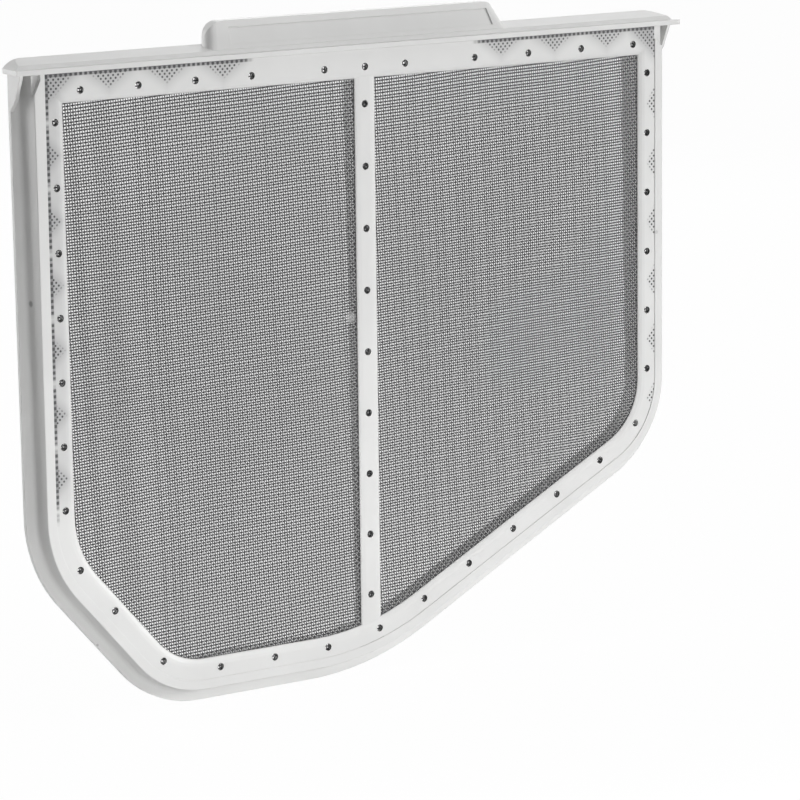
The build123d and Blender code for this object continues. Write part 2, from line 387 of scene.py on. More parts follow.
@dataclass(frozen=True)
class BorderPath:
    """Path of the mould pins round the border, in millimetres of X and Z."""

    half_width: float = 143.3
    left_drop: float = 190.1
    foot_drop: float = 244.7
    right_drop: float = 170.5
    chamfer_run: float = 47.4
    keel_x: float = -0.4
    left_lean: float = 0.8
    radii: tuple[float, ...] = (42.0, 32.0, 112.0, 33.0)
    arc_steps: int = 14

    def corners(self, grow: float, top: float, lean: float) -> list[Vector]:
        """Find the sharp corners of the path after it is moved outward.

        Args:
            grow: Distance outward.
            top: Height at which both sides end.
            lean: Outward lean of the left side at the rail.

        Returns:
            The corners from the top of the left side round to the top of the right.
        """
        left, right = -self.half_width, self.half_width
        sharp = [Vector(p) for p in (
            (left - lean * (1 + top / self.left_drop), top), (left, -self.left_drop),
            (left + self.chamfer_run, -self.foot_drop),
            (self.keel_x, -self.foot_drop), (right, -self.right_drop), (right, top),
        )]
        runs = [(b - a).normalized() for a, b in zip(sharp, sharp[1:])]
        normals = [Vector((run.y, -run.x)) for run in runs]
        moved = [sharp[0] + Vector((grow / normals[0].x, 0))]
        for corner, before, after in zip(sharp[1:-1], normals, normals[1:]):
            moved.append(corner + (before + after) * (grow / (1 + before.dot(after))))
        moved.append(sharp[-1] + Vector((grow / normals[-1].x, 0)))
        return moved

    def stretches(self, grow: float, top: float, lean: float) -> list[list[Vector]]:
        """Split the moved path into straight and round stretches.

        Args:
            grow: Distance outward.
            top: Height at which both sides end.
            lean: Outward lean of the left side at the rail.

        Returns:
            Points of each stretch in order, straight and round by turns.
        """
        corners = self.corners(grow, top, lean)
        found: list[list[Vector]] = []
        start = corners[0]
        for before, corner, after, radius in zip(corners, corners[1:], corners[2:], self.radii):
            arc = self.rounded(before, corner, after, radius + grow)
            found += [[start, arc[0]], arc]
            start = arc[-1]
        return found + [[start, corners[-1]]]

    def rounded(self, before: Vector, corner: Vector, after: Vector, radius: float) -> list[Vector]:
        """Round one corner.

        Args:
            before: The corner before it.
            corner: The corner itself.
            after: The corner after it.
            radius: Radius of the arc.

        Returns:
            Points along the arc.
        """
        back = (before - corner).normalized()
        ahead = (after - corner).normalized()
        half = back.angle(ahead) / 2
        centre = corner + (back + ahead).normalized() * (radius / math.sin(half))
        first = corner + back * (radius / math.tan(half)) - centre
        last = corner + ahead * (radius / math.tan(half)) - centre
        shares = [k / self.arc_steps for k in range(self.arc_steps + 1)]
        return [centre + first.slerp(last, share) * radius for share in shares]

    def outline(self, grow: float, top: float) -> list[Vector]:
        """Give the closed outline, moved outward and cut straight across its top.

        Args:
            grow: Distance outward.
            top: Height of the cut.

        Returns:
            The outline's points.
        """
        points: list[Vector] = []
        for stretch in self.stretches(grow, top, self.left_lean):
            points += [p for p in stretch if not points or (p - points[-1]).length > 1e-6]
        return points

    def along(self, stretch: int, distance: float) -> Vector:
        """Find a point on the path.

        Args:
            stretch: Number of the stretch that the distance starts from.
            distance: Distance along the path, which may run on into the next stretches.

        Returns:
            The point.
        """
        rest = distance
        for points in self.stretches(0.0, 0.0, 0.0)[stretch:]:
            for a, b in zip(points, points[1:]):
                step = (b - a).length
                if rest <= step:
                    return a + (b - a) * (rest / step)
                rest -= step
        return b


@dataclass(frozen=True)
class PinHoles:
    """Holes left in the border and the bar by the pins that held the screen in the mould, in millimetres."""

    path: BorderPath
    radius: float = 1.5
    pitch: float = 25.4
    top_drop: float = 7.1
    middle_spacing: float = 19.55
    top_left: tuple[float, float, int] = (-54.0, -25.97, 4)
    top_right: tuple[float, float, int] = (54.1, 27.27, 4)
    left: tuple[float, int] = (18.9, 7)
    right: tuple[float, int] = (19.6, 6)
    bar: tuple[float, int] = (22.2, 9)
    singles: tuple[tuple[int, float], ...] = ((1, 22.6), (2, 16.6), (3, 6.8), (7, 15.5))
    foot: tuple[float, float, int] = (7.5, 26.0, 4)
    slope: tuple[float, float, int] = (2.8, 25.8, 5)

    def top_row(self) -> list[Vector]:
        """Give the pins under the rail from left to right."""
        xs = [k * self.middle_spacing for k in (-1, 0, 1)]
        for first, step, count in (self.top_left, self.top_right):
            xs += [first + k * step for k in range(count)]
        return [Vector((x, -self.top_drop)) for x in sorted(xs)]

    def side(self, left: bool) -> list[Vector]:
        """Give the pins down one side, from the top."""
        first, count = self.left if left else self.right
        x = -self.path.half_width if left else self.path.half_width
        return [Vector((x, -first - k * self.pitch)) for k in range(count)]

    def all(self) -> list[Vector]:
        """Give every pin."""
        pins = self.top_row() + self.side(True) + self.side(False)
        pins += [self.path.along(stretch, distance) for stretch, distance in self.singles]
        for stretch, (first, step, count) in ((4, self.foot), (6, self.slope)):
            pins += [self.path.along(stretch, first + k * step) for k in range(count)]
        first, count = self.bar
        return pins + [Vector((0.0, -first - k * self.pitch)) for k in range(count)]


@dataclass(frozen=True)
class PlaceParts:
    """A place on a piece in millimetres, and how far its surface faces to the rear."""

    x: Term
    y: Term
    z: Term
    facing: Term

    @classmethod
    def read(cls, tree: bpy.types.NodeTree, place: bpy.types.NodeSocket) -> "PlaceParts":
        """Split a position into its parts.

        Args:
            tree: The material's node tree.
            place: Position on the piece in metres.

        Returns:
            The parts.
        """
        sized = add_node(tree, "ShaderNodeVectorMath", {0: place, "Scale": 1 / MM}, operation="SCALE")
        x, y, z = add_node(tree, "ShaderNodeSeparateXYZ", {0: sized.outputs[0]}).outputs
        normal = add_node(tree, "ShaderNodeNewGeometry").outputs["Normal"]
        facing = add_node(tree, "ShaderNodeSeparateXYZ", {0: normal}).outputs["Y"]
        return cls(*(Term(tree, socket) for socket in (x, y, z, facing)))


@dataclass(frozen=True)
class Mark:
    """One small blemish: its place and radius in millimetres and how much of the colour is left in it."""

    place: tuple[float, float, float]
    radius: float
    left: float


@dataclass(frozen=True)
class ThinSkin:
    """The front skin over the screen, in millimetres: away from the mould pins the cloth lies close under it.

    There the cloth shows through: in vees under the rail, in patches beside the rims and in both upper
    corners. Each such zone is one at its heart and zero at its edge. A pair of sizes is for the left and for
    the right.
    """

    pins: PinHoles
    front: float = -0.12
    back: float = 0.95
    facing: float = -0.85
    rim_grow: float = 4.2
    vee_half_width: float = 11.0
    vee_drop: float = 7.5
    vee_start: Fade = Fade(52.0, 58.0)
    vee_grey: Fade = Fade(-0.7, 0.5, 0.0, 0.6)
    vee_print: Fade = Fade(-0.05, 0.2)
    patch_reach: tuple[float, float] = (6.5, 4.5)
    patch_height: tuple[float, float] = (5.8, 7.5)
    patch_print: Fade = Fade(-0.05, 0.25)
    side_edge: Fade = Fade(-6.0, -1.0)
    side_foot: Fade = Fade(-178.0, -160.0)
    left_grey: Fade = Fade(-0.9, 0.7, 0.42, 0.97)
    right_grey: Fade = Fade(-0.3, 0.8, 0.0, 0.3)
    corner_width: float = 14.0
    corner_drop: float = 12.5
    corner_grey: Fade = Fade(-0.5, 0.4, 0.0, 0.9)
    corner_print: Fade = Fade(-0.05, 0.15)
    dot: Fade = Fade(0.54, 0.34)
    cloth_edge_grow: float = 3.5
    cloth_edge_drop: float = 0.7
    end_length: Fade = Fade(0.95, 0.45)
    end_width: Fade = Fade(0.38, 0.18, 0.5, 1.0)
    ends_foot: Fade = Fade(-178.0, -170.0)
    ends_gap: Fade = Fade(13.0, 10.0)

    def show_through(self, parts: PlaceParts) -> tuple[Term, Term]:
        """Find where the screen shows through the front skin.

        Args:
            parts: Position on the piece.

        Returns:
            How grey the skin is, and where the cloth's threads print through as dots.
        """
        pins = self.pins
        right = parts.x > 0.0
        from_middle = abs(parts.x)
        outward = from_middle - pins.path.half_width
        top_step = self.by_side(right, (-pins.top_left[1], pins.top_right[1]))
        top_gap = self.from_midway(from_middle + pins.top_left[0], top_step)
        side_first = self.by_side(right, (pins.left[0], pins.right[0]))
        side_gap = self.from_midway(-parts.z - side_first, pins.pitch)
        vee = parts.z / self.vee_drop - top_gap / self.vee_half_width + 1.0
        reach = (outward - self.rim_grow) / self.by_side(right, self.patch_reach)
        patch = reach - side_gap / self.by_side(right, self.patch_height) + 1.0
        corner = (outward - self.rim_grow) / self.corner_width + parts.z / self.corner_drop + 1.0
        sides = self.side_edge.over(outward) * self.side_foot.over(parts.z)
        under_rail = self.vee_start.over(from_middle)
        # The left side is grey all across, the right side only a little
        left_grey, right_grey = self.left_grey.over(patch), self.right_grey.over(patch)
        side_grey = left_grey + (right_grey - left_grey) * right
        greyed = largest(sides * side_grey, under_rail * self.vee_grey.over(vee),
                         self.corner_grey.over(corner))
        thin = largest(sides * self.patch_print.over(patch), under_rail * self.vee_print.over(vee),
                       self.corner_print.over(corner))
        # The cut ends of the threads show on the left beside the rim, and all along under the rail
        beside = (1.0 - right) * self.ends_foot.over(parts.z) * self.ends_gap.over(side_gap)
        side_ends = self.thread_ends(outward - self.cloth_edge_grow, parts.z / WEFT_SPACING)
        top_ends = self.thread_ends(parts.z + self.cloth_edge_drop, parts.x / WARP_SPACING)
        dotted = largest(thin * self.crossing_dots(parts), side_ends * beside, top_ends * under_rail)
        cover = self.cover(parts)
        return cover * greyed, cover * dotted

    def cover(self, parts: PlaceParts) -> Term:
        """Give one on the front skin over the screen and zero elsewhere."""
        return (parts.y > self.front) * (parts.y < self.back) * (parts.facing < self.facing)

    def by_side(self, right: Term, pair: tuple[float, float]) -> Term:
        """Choose the first of a pair on the left and the second on the right."""
        return right * (pair[1] - pair[0]) + pair[0]

    def from_midway(self, distance: Term, step: Term | float) -> Term:
        """Measure how far a place in a row is from midway between two pins.

        Args:
            distance: Distance from the first pin of the row.
            step: Distance between its pins.

        Returns:
            The distance from midway.
        """
        return abs((distance / step).fraction() - 0.5) * step

    def crossing_dots(self, parts: PlaceParts) -> Term:
        """Draw a dot at every second crossing of the cloth, staggered from row to row.

        Args:
            parts: Position on the piece.

        Returns:
            One inside the dots and zero between them.
        """
        column, row = parts.x / (2 * WARP_SPACING), parts.z / (2 * WEFT_SPACING)
        one, other = [(line + 0.5).fraction() - 0.5 for line in (column + row, column - row)]
        across, up = (one + other) * WARP_SPACING, (one - other) * WEFT_SPACING
        square = across * across + up * up
        return self.dot.over(square.work("SQRT", square))

    def thread_ends(self, across: Term, threads: Term) -> Term:
        """Draw the row of cut thread ends along one edge of the cloth.

        Args:
            across: Distance from the edge.
            threads: Place along the edge, counted in threads.

        Returns:
            One on the thread ends, less between them and zero elsewhere.
        """
        from_end = abs((threads / 2).fraction() - 0.5)
        return self.end_length.over(abs(across)) * self.end_width.over(from_end)


@dataclass(frozen=True)
class MouldedPolypropylene:
    """Polypropylene, injection moulded in a finely spark-eroded tool: a satin, even, milky light grey.

    The skin over the screen is thin, so the dark cloth greys it and prints through away from the mould pins.
    """

    skin: ThinSkin
    name: str = "polypropylene_moulded_satin"
    colour: str = "#DEDEDD"
    greyed_colour: str = "#A8A8A9"
    dot_colour: str = "#3C3C3E"
    roughness: float = 0.42
    roughness_spread: float = 0.05
    ior: float = 1.49
    grain_mm: float = 0.45
    grain_height_mm: float = 0.012
    flow_mm: float = 38.0
    flow_contrast: float = 0.05
    edge_radius_mm: float = 0.3
    hole_front: Fade = Fade(-0.25, -0.1)
    hole_back: float = 2.45
    hole_top: float = -1.0
    hole_facing: float = 0.5
    hole_reach: float = 2.2
    hole_shade: float = 0.05
    mark_core: float = 0.6
    mark_edge: float = 1.2
    marks: tuple[Mark, ...] = (
        Mark((-152.4, 6.5, -89.25), 1.3, 0.5),
        Mark((148.2, -0.25, -88.0), 0.9, 0.78),
        Mark((-127.0, 6.4, -229.0), 0.6, 0.7),
    )

    def build(self) -> bpy.types.Material:
        """Build the material.

        Returns:
            A material that is greyer and dotted where the plastic is a thin skin over the screen.
        """
        material, tree = new_material(self.name)
        place = add_node(tree, "ShaderNodeTexCoord").outputs["Object"]
        parts = PlaceParts.read(tree, place)
        greyed, dotted = self.skin.show_through(parts)
        printed = overlaid(tree, self.colour, [(greyed, self.greyed_colour), (dotted, self.dot_colour)])
        # Slow swirls of the melt show as a barely visible change of tone
        flow = add_node(tree, "ShaderNodeTexNoise", {
            "Vector": place, "Scale": 1 / (self.flow_mm * MM), "Detail": 3.0, "Distortion": 0.6,
        })
        shade = add_node(tree, "ShaderNodeMapRange", {
            0: flow.outputs["Fac"], 1: NOISE_LOW, 2: NOISE_HIGH, 3: 1 - self.flow_contrast, 4: 1.0,
        })
        tone = self.marked(place, Term(tree, shade.outputs["Result"])) * self.hollows(parts)
        colour = add_node(tree, "ShaderNodeMix", {
            0: 1.0, 6: printed, 7: tone,
        }, data_type="RGBA", blend_type="MULTIPLY")
        # The eroded tool leaves a fine even grain that breaks up the gloss
        grain = add_node(tree, "ShaderNodeTexNoise", {
            "Vector": place, "Scale": 1 / (self.grain_mm * MM), "Detail": 2.0,
        })
        gloss = add_node(tree, "ShaderNodeMapRange", {
            0: grain.outputs["Fac"], 1: NOISE_LOW, 2: NOISE_HIGH,
            3: self.roughness - self.roughness_spread, 4: self.roughness + self.roughness_spread,
        })
        soft_edge = add_node(tree, "ShaderNodeBevel", {"Radius": self.edge_radius_mm * MM}, samples=4)
        bump = add_node(tree, "ShaderNodeBump", {
            "Height": grain.outputs["Fac"], "Distance": self.grain_height_mm * MM,
            "Normal": soft_edge.outputs["Normal"],
        })
        shader = add_node(tree, "ShaderNodeBsdfPrincipled", {
            "Base Color": colour.outputs[2], "Roughness": gloss.outputs["Result"], "IOR": self.ior,
            "Normal": bump.outputs["Normal"],
        })
        add_node(tree, "ShaderNodeOutputMaterial", {"Surface": shader.outputs["BSDF"]})
        return material

    def hollows(self, parts: PlaceParts) -> Term:
        """Darken the walls of the pin holes, where the light hardly reaches.

        Args:
            parts: Position on the piece.

        Returns:
            One on open surfaces and less in the holes.
        """
        pins = self.skin.pins
        plate = self.hole_front.over(parts.y) * (parts.y < self.hole_back)
        wall = (abs(parts.facing) < self.hole_facing) * plate * (parts.z < self.hole_top)
        corners = pins.path.corners(0.0, 0.0, 0.0)
        sides = []
        for a, b in zip(corners, corners[1:]):
            run = (b - a).normalized()
            normal = Vector((run.y, -run.x))
            sides.append(parts.x * normal.x - normal.dot(a) + parts.z * normal.y)
        rows = (largest(*sides), parts.x, parts.z + pins.top_drop)
        border, bar, top = [abs(off) < self.hole_reach for off in rows]
        inside = abs(parts.x) < pins.path.half_width
        hole = wall * largest(border, bar, top * inside)
        return hole * (self.hole_shade - 1.0) + 1.0

    def marked(self, place: bpy.types.NodeSocket, tone: Term) -> Term:
        """Darken the few small marks.

        Args:
            place: Position on the piece.
            tone: Tone of the clean plastic.

        Returns:
            The tone with the marks in it.
        """
        for mark in self.marks:
            reach = add_node(tone.tree, "ShaderNodeVectorMath", {
                0: place, 1: Vector(mark.place) * MM,
            }, operation="DISTANCE")
            left = add_node(tone.tree, "ShaderNodeMapRange", {
                0: reach.outputs["Value"], 1: self.mark_core * mark.radius * MM,
                2: self.mark_edge * mark.radius * MM, 3: mark.left, 4: 1.0,
            })
            tone = tone * left.outputs["Result"]
        return tone


@dataclass(frozen=True)
class WovenScreen:
    """The screen's cloth: round threads in plain weave, in millimetres."""

    pins: PinHoles
    warp_thread: float = 0.465
    weft_thread: float = 0.565
    warp_wander: float = 0.015
    weft_wander: float = 0.055
    rise: float = 0.15
    turn: float = 2.6
    sway: float = 0.5
    sway_length: float = 60.0
    sway_gain: float = 4.0
    draw: tuple[float, float] = (0.025, 0.045)
    middle_depth: float = 1.25
    window_inset: float = 4.5
    window_top: float = -11.8
    bar_half_width: float = 5.0
    run_in: float = 1.3
    spare: float = 8.0
    pin_margin: float = 0.2
    seed: int = 7

    def windows(self) -> dict[str, list[Vector]]:
        """Outline the bare cloth of both windows.

        Returns:
            The left and the right outline by name.
        """
        whole = self.pins.path.outline(-self.window_inset, self.window_top)
        return {
            "left": self.cut_at(whole, -self.bar_half_width, -1.0),
            "right": self.cut_at(whole, self.bar_half_width, 1.0),
        }

    def cut_at(self, outline: list[Vector], x: float, side: float) -> list[Vector]:
        """Keep the part of an outline on one side of an upright line.

        Args:
            outline: The closed outline.
            x: Place of the line.
            side: Minus one to keep what is left of it, one to keep what is right.

        Returns:
            The cut outline.
        """
        kept: list[Vector] = []
        for a, b in zip(outline, outline[1:] + outline[:1]):
            a_in = (a.x - x) * side >= 0
            b_in = (b.x - x) * side >= 0
            if a_in:
                kept.append(a)
            if a_in != b_in:
                kept.append(a.lerp(b, (x - a.x) / (b.x - a.x)))
        return kept

    def pin_discs(self, side: float) -> list[list[Vector]]:
        """Outline the cloth that shows in the pin holes of one half.

        Args:
            side: Minus one for the left half, one for the right half with the bar.

        Returns:
            A small square for each hole.
        """
        reach = self.pins.radius - self.run_in + self.pin_margin
        pins = [p for p in self.pins.all() if (p.x >= -self.bar_half_width) == (side > 0)]
        turns = ((-1, -1), (1, -1), (1, 1), (-1, 1))
        return [[p + Vector(turn) * reach for turn in turns] for p in pins]

    def tree(self) -> bpy.types.GeometryNodeTree:
        """Build the geometry tree of one set of threads.

        Returns:
            A tree that fills the input faces with waved threads.
        """
        tree = bpy.data.node_groups.new("plain_weave_threads", "GeometryNodeTree")
        sockets = (
            ("Cloth", "NodeSocketGeometry"), ("Columns", "NodeSocketInt"), ("Rows", "NodeSocketInt"),
            ("Centre", "NodeSocketVector"), ("Warp Spacing", "NodeSocketFloat"),
            ("Weft Spacing", "NodeSocketFloat"), ("Thread", "NodeSocketFloat"), ("Rise", "NodeSocketFloat"),
            ("Run In", "NodeSocketFloat"), ("Upright", "NodeSocketBool"), ("Wander", "NodeSocketFloat"),
            ("Turn", "NodeSocketFloat"), ("Sway", "NodeSocketFloat"), ("Sway Length", "NodeSocketFloat"),
            ("Half Size", "NodeSocketVector"), ("Draw", "NodeSocketVector"),
            ("Seed", "NodeSocketInt"), ("Finish", "NodeSocketMaterial"),
        )
        for name, kind in sockets:
            tree.interface.new_socket(name, in_out="INPUT", socket_type=kind)
        tree.interface.new_socket("Threads", in_out="OUTPUT", socket_type="NodeSocketGeometry")
        given = add_node(tree, "NodeGroupInput").outputs
        lines = self.single_lines(tree, given, self.lattice(tree, given))
        laid = self.lay(tree, given, self.waves(tree, given, lines))
        lines = add_node(tree, "GeometryNodeMeshToCurve", {"Mesh": laid})
        # A four-sided tube that looks as wide from all round as the round thread
        section = add_node(tree, "GeometryNodeCurvePrimitiveCircle", {
            "Resolution": 4, "Radius": Term(tree, given["Thread"]) * (math.pi / math.sqrt(32)),
        })
        tubes = add_node(tree, "GeometryNodeCurveToMesh", {
            "Curve": lines.outputs["Curve"], "Profile Curve": section.outputs["Curve"], "Fill Caps": True,
        })
        smooth = add_node(tree, "GeometryNodeSetShadeSmooth", {"Geometry": tubes.outputs["Mesh"]})
        real = add_node(tree, "GeometryNodeRealizeInstances", {"Geometry": smooth.outputs["Geometry"]})
        dressed = add_node(tree, "GeometryNodeSetMaterial", {
            "Geometry": real.outputs["Geometry"], "Material": given["Finish"],
        })
        add_node(tree, "NodeGroupOutput", {0: dressed.outputs["Geometry"]})
        return tree

    def lattice(self, tree: bpy.types.GeometryNodeTree,
                given: bpy.types.bpy_prop_collection) -> bpy.types.NodeSocket:
        """Lay out the crossings in an upright grid about the origin.

        Args:
            tree: The tree being built.
            given: The tree's inputs.

        Returns:
            A grid of crossings.
        """
        columns, rows = given["Columns"], given["Rows"]
        grid = add_node(tree, "GeometryNodeMeshGrid", {
            "Size X": (Term(tree, columns) - 1.0) * given["Warp Spacing"], "Vertices X": columns,
            "Size Y": (Term(tree, rows) - 1.0) * given["Weft Spacing"], "Vertices Y": rows,
        })
        return add_node(tree, "GeometryNodeTransform", {
            "Geometry": grid.outputs["Mesh"], "Rotation": (math.pi / 2, 0, 0),
        }).outputs["Geometry"]

    def single_lines(self, tree: bpy.types.GeometryNodeTree, given: bpy.types.bpy_prop_collection,
                     lattice: bpy.types.NodeSocket) -> bpy.types.NodeSocket:
        """Keep only the grid's edges that run along the threads.

        Args:
            tree: The tree being built.
            given: The tree's inputs.
            lattice: The grid of crossings.

        Returns:
            Lines of crossings with no faces.
        """
        ends = add_node(tree, "GeometryNodeInputMeshEdgeVertices").outputs
        step = add_node(tree, "ShaderNodeVectorMath", {
            0: ends["Position 2"], 1: ends["Position 1"],
        }, operation="SUBTRACT")
        parts = add_node(tree, "ShaderNodeSeparateXYZ", {0: step.outputs[0]}).outputs
        across = add_node(tree, "GeometryNodeSwitch", {
            "Switch": given["Upright"], "False": parts["Z"], "True": parts["X"],
        }, input_type="FLOAT")
        crosswise = add_node(tree, "FunctionNodeCompare", {
            0: abs(Term(tree, across.outputs[0])), 1: given["Thread"],
        }, data_type="FLOAT", operation="GREATER_THAN")
        return add_node(tree, "GeometryNodeDeleteGeometry", {
            "Geometry": lattice, "Selection": crosswise.outputs[0],
        }, domain="EDGE", mode="EDGE_FACE").outputs["Geometry"]

    def waves(self, tree: bpy.types.GeometryNodeTree, given: bpy.types.bpy_prop_collection,
              lines: bpy.types.NodeSocket) -> bpy.types.NodeSocket:
        """Pass the lines over and under each other and let each thread wander a little.

        Args:
            tree: The tree being built.
            given: The tree's inputs.
            lines: Straight lines of crossings.

        Returns:
            The waved lines.
        """
        place = add_node(tree, "GeometryNodeInputPosition").outputs[0]
        parts = add_node(tree, "ShaderNodeSeparateXYZ", {0: place}).outputs
        column = Term(tree, parts["X"]) / given["Warp Spacing"]
        row = Term(tree, parts["Z"]) / given["Weft Spacing"]
        phase = (column + row) * math.pi
        height = phase.work("COSINE", phase) * given["Rise"]
        depth, number = [add_node(tree, "GeometryNodeSwitch", {
            "Switch": given["Upright"], "False": of_weft, "True": of_warp,
        }, input_type="FLOAT").outputs[0] for of_weft, of_warp in ((height, -height), (row, column))]
        whole = add_node(tree, "FunctionNodeFloatToInt", {0: number}, rounding_mode="ROUND")
        drift = add_node(tree, "FunctionNodeRandomValue", {
            2: -Term(tree, given["Wander"]), 3: given["Wander"],
            "ID": whole.outputs[0], "Seed": given["Seed"],
        }, data_type="FLOAT").outputs[1]
        sideways = add_node(tree, "ShaderNodeCombineXYZ", {0: drift, 1: depth})
        upward = add_node(tree, "ShaderNodeCombineXYZ", {1: depth, 2: drift})
        offset = add_node(tree, "GeometryNodeSwitch", {
            "Switch": given["Upright"], "False": upward.outputs[0], "True": sideways.outputs[0],
        }, input_type="VECTOR")
        told = add_node(tree, "GeometryNodeStoreNamedAttribute", {
            "Geometry": lines, "Name": LIFT, "Value": -(Term(tree, depth) / given["Rise"]),
        }, data_type="FLOAT", domain="POINT")
        return add_node(tree, "GeometryNodeSetPosition", {
            "Geometry": told.outputs["Geometry"], "Offset": offset.outputs[0],
        }).outputs["Geometry"]

    def lay(self, tree: bpy.types.GeometryNodeTree, given: bpy.types.bpy_prop_collection,
            lines: bpy.types.NodeSocket) -> bpy.types.NodeSocket:
        """Lay the lines a little askew and swaying in the frame, and cut them to the cloth.

        Args:
            tree: The tree being built.
            given: The tree's inputs.
            lines: The waved lines about the origin.

        Returns:
            The lines in place, cut to the cloth and its run into the plastic.
        """
        askew = add_node(tree, "ShaderNodeCombineXYZ", {1: given["Turn"]})
        turned = add_node(tree, "GeometryNodeTransform", {
            "Geometry": lines, "Translation": given["Centre"], "Rotation": askew.outputs[0],
        })
        place = add_node(tree, "GeometryNodeInputPosition").outputs[0]
        slow = add_node(tree, "ShaderNodeTexNoise", {
            "Vector": place, "W": given["Seed"], "Detail": 0.0,
            "Scale": 1.0 / Term(tree, given["Sway Length"]),
        }, noise_dimensions="4D")
        centred = add_node(tree, "ShaderNodeVectorMath", {
            0: slow.outputs["Color"], 1: (0.5, 0.5, 0.5),
        }, operation="SUBTRACT")
        # The noise keeps near its middle, so it is stretched to fill the sway
        in_plane = add_node(tree, "ShaderNodeVectorMath", {
            0: centred.outputs[0], 1: (self.sway_gain, 0.0, self.sway_gain),
        }, operation="MULTIPLY")
        offset = add_node(tree, "ShaderNodeVectorMath", {
            0: in_plane.outputs[0], "Scale": given["Sway"],
        }, operation="SCALE")
        # The cloth was drawn to its edges, so it is finest in the middle of each window
        away = add_node(tree, "ShaderNodeVectorMath", {0: place, 1: given["Centre"]}, operation="SUBTRACT")
        share = add_node(tree, "ShaderNodeVectorMath", {
            0: away.outputs[0], 1: given["Half Size"],
        }, operation="DIVIDE")
        square = add_node(tree, "ShaderNodeVectorMath", {
            0: share.outputs[0], 1: share.outputs[0],
        }, operation="MULTIPLY")
        less = add_node(tree, "ShaderNodeVectorMath", {
            0: square.outputs[0], 1: (1.0, 1.0, 1.0),
        }, operation="SUBTRACT")
        cubic = add_node(tree, "ShaderNodeVectorMath", {
            0: less.outputs[0], 1: share.outputs[0],
        }, operation="MULTIPLY")
        drawn = add_node(tree, "ShaderNodeVectorMath", {
            0: cubic.outputs[0], 1: given["Draw"], 2: offset.outputs[0],
        }, operation="MULTIPLY_ADD")
        swayed = add_node(tree, "GeometryNodeSetPosition", {
            "Geometry": turned.outputs["Geometry"], "Offset": drawn.outputs[0],
        })
        distance = add_node(tree, "GeometryNodeProximity", {0: given["Cloth"]}, target_element="FACES")
        outside = add_node(tree, "FunctionNodeCompare", {
            0: distance.outputs["Distance"], 1: given["Run In"],
        }, data_type="FLOAT", operation="GREATER_THAN")
        return add_node(tree, "GeometryNodeDeleteGeometry", {
            "Geometry": swayed.outputs["Geometry"], "Selection": outside.outputs[0],
        }, domain="POINT").outputs["Geometry"]

    def span(self, values: list[float], spacing: float) -> tuple[int, float]:
        """Fit an odd number of threads round a range of places, with some to spare for the askew lay.

        Args:
            values: Places that the threads have to cover.
            spacing: Thread spacing.

        Returns:
            The number of threads and the middle of their range.
        """
        low, high = min(values), max(values)
        half = math.ceil(((high - low) / 2 + self.run_in + self.spare) / spacing)
        return 2 * half + 1, (low + high) / 2

    def build(self, finishes: dict[ThreadRun, bpy.types.Material]) -> None:
        """Weave both windows and take the place of the plain screen.

        Args:
            finishes: The material of either run of threads.
        """
        tree = self.tree()
        for (name, outline), side in zip(self.windows().items(), (-1.0, 1.0)):
            faces = [outline] + self.pin_discs(side)
            points = [p for face in faces for p in face]
            columns, middle_x = self.span([p.x for p in points], WARP_SPACING)
            rows, middle_z = self.span([p.y for p in points], WEFT_SPACING)
            half_x, half_z = max(p.x for p in points) - middle_x, max(p.y for p in points) - middle_z
            for run in ThreadRun:
                upright = run is ThreadRun.WARP
                piece = flat_object(f"screen_{run.value}_{name}", faces, self.middle_depth)
                run_tree(piece, tree, {
                    "Columns": columns, "Rows": rows,
                    "Centre": (middle_x * MM, self.middle_depth * MM, middle_z * MM),
                    "Warp Spacing": WARP_SPACING * MM, "Weft Spacing": WEFT_SPACING * MM,
                    "Thread": (self.warp_thread if upright else self.weft_thread) * MM,
                    "Rise": self.rise * MM, "Run In": self.run_in * MM,
                    "Upright": upright,
                    "Wander": (self.warp_wander if upright else self.weft_wander) * MM,
                    "Turn": math.radians(-self.turn), "Sway": self.sway * MM,
                    "Half Size": (half_x * MM, MM, half_z * MM),
                    "Draw": (self.draw[0] * half_x * MM, 0.0, self.draw[1] * half_z * MM),
                    "Sway Length": self.sway_length * MM, "Seed": self.seed, "Finish": finishes[run],
                })
                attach(piece, BODY)
                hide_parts("mesh_screen")
                report(piece)


@dataclass(frozen=True)
class MouldedFrame:
    """The one-piece moulding, which keeps its solid and takes a finish."""

    node: str = "filter_frame"

    def dress(self, finish: bpy.types.Material) -> None:
        """Give the moulding its finish.

        Args:
            finish: The plastic's material.
        """
        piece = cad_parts[self.node]
        piece.data.materials.clear()
        piece.data.materials.append(finish)
        report(piece)


@dataclass(frozen=True)
class Lamp:
    """One soft lamp, in metres and watts."""

    name: str
    place: tuple[float, float, float]
    size: tuple[float, float]
    power: float


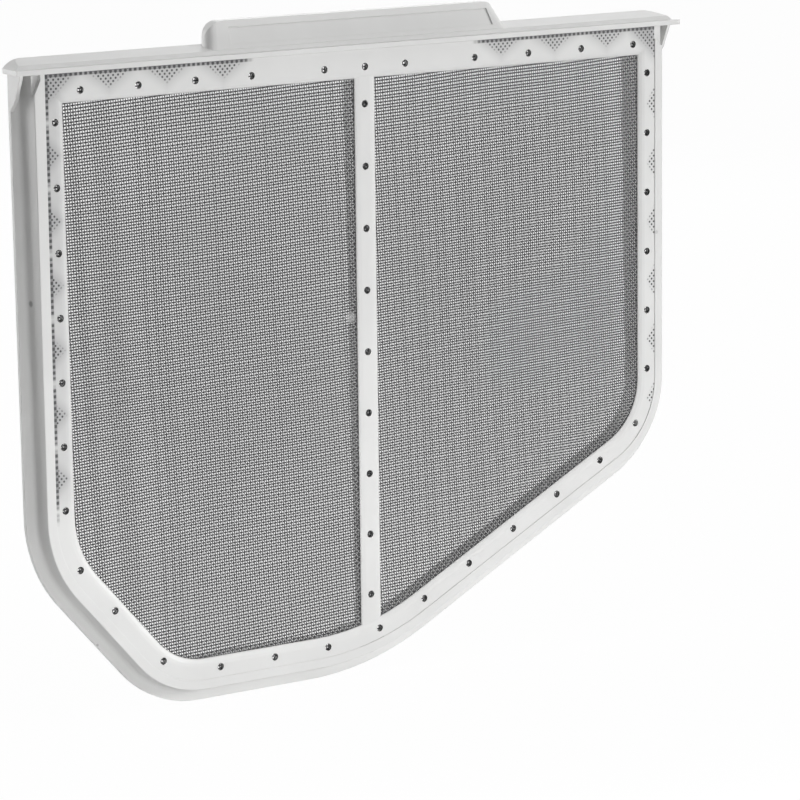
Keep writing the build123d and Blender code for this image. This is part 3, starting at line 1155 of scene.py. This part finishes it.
@dataclass(frozen=True)
class Studio:
    """Plain pale floor, soft lamps and an even white surround."""

    aim: Vector
    floor_half_size: float = 9.0
    surround: float = 0.03
    lamps: tuple[Lamp, ...] = (
        Lamp("lamp_overhead", (0.1, -0.3, 1.4), (1.2, 1.0), 9.4),
        Lamp("lamp_key_right", (3.2, -2.4, 0.7), (1.0, 1.0), 86.0),
        Lamp("lamp_front", (0.3, -3.6, 0.5), (1.0, 1.0), 11.0),
        Lamp("lamp_behind_left", (-0.9, 1.3, 0.25), (1.2, 1.2), 17.0),
        Lamp("lamp_behind_right", (1.0, 1.2, 0.4), (0.8, 0.8), 3.2),
        Lamp("lamp_table", (-0.02, -0.25, -0.262), (0.6, 0.1), 0.85),
    )

    def build(self, floor_finish: bpy.types.Material, floor_height: float) -> None:
        """Set up the floor, the lamps and the world.

        Args:
            floor_finish: The floor's material.
            floor_height: Height of the floor.
        """
        half = self.floor_half_size
        corners = [(-half, -half, floor_height), (half, -half, floor_height),
                   (half, half, floor_height), (-half, half, floor_height)]
        mesh = bpy.data.meshes.new("floor")
        mesh.from_pydata(corners, [], [(0, 1, 2, 3)])
        mesh.materials.append(floor_finish)
        floor = bpy.data.objects.new("floor", mesh)
        bpy.context.scene.collection.objects.link(floor)
        floor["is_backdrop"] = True
        for lamp in self.lamps:
            self.hang(lamp)
        self.light_world()

    def hang(self, lamp: Lamp) -> None:
        """Hang one lamp so that it faces the filter.

        Args:
            lamp: The lamp.
        """
        light = bpy.data.lights.new(lamp.name, "AREA")
        light.shape = "RECTANGLE"
        light.size, light.size_y = lamp.size
        light.energy = lamp.power
        holder = bpy.data.objects.new(lamp.name, light)
        holder.location = lamp.place
        holder.rotation_euler = (self.aim - Vector(lamp.place)).to_track_quat("-Z", "Y").to_euler()
        holder.visible_camera = False
        bpy.context.scene.collection.objects.link(holder)

    def light_world(self) -> None:
        """Make the surround white to the eye and dimmer as a light."""
        world = bpy.data.worlds.new("surround")
        world.use_nodes = True
        tree = world.node_tree
        tree.nodes.clear()
        level = add_node(tree, "ShaderNodeMapRange", {0: seen_rays(tree), 3: self.surround, 4: 1.0})
        glow = add_node(tree, "ShaderNodeBackground", {
            "Color": (1, 1, 1, 1), "Strength": level.outputs["Result"],
        })
        add_node(tree, "ShaderNodeOutputWorld", {"Surface": glow.outputs[0]})
        bpy.context.scene.world = world


@dataclass(frozen=True)
class PhotoCamera:
    """Long-lens camera at the photograph's place, in millimetres and degrees."""

    place: tuple[float, float, float] = (-903.06, -1350.47, 163.03)
    turn: tuple[float, float, float] = (79.2994, 0.6531, -34.3364)
    lens: float = 181.937
    sensor: float = 36.0

    def build(self) -> None:
        """Make the camera and hand it to the scene."""
        data = bpy.data.cameras.new("photo_camera")
        data.lens = self.lens
        data.sensor_width = self.sensor
        data.clip_end = 100.0
        camera = bpy.data.objects.new("photo_camera", data)
        camera.location = Vector(self.place) * MM
        camera.rotation_euler = Euler([math.radians(angle) for angle in self.turn], "XYZ")
        bpy.context.scene.collection.objects.link(camera)
        bpy.context.scene.camera = camera


def main() -> None:
    """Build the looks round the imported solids."""
    logging.basicConfig(level=logging.INFO, format="%(name)s %(message)s")
    low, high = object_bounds()
    bpy.context.scene.view_settings.view_transform = "Standard"
    pins = PinHoles(BorderPath())
    MouldedFrame().dress(MouldedPolypropylene(ThinSkin(pins)).build())
    # The warp's proud knuckles are painted pale: partly wear, partly a painted highlight
    warp_finish = PolyamideMonofilament("polyamide_monofilament_warp", knuckle_wear_and_highlight_colour="#B4B4B6")
    weft_finish = PolyamideMonofilament("polyamide_monofilament_weft")
    WovenScreen(pins).build({ThreadRun.WARP: warp_finish.build(), ThreadRun.WEFT: weft_finish.build()})
    Studio(aim=(low + high) / 2).build(PaleFloor().build(), low.z)
    PhotoCamera().build()


if __name__ == "__main__":
    main()
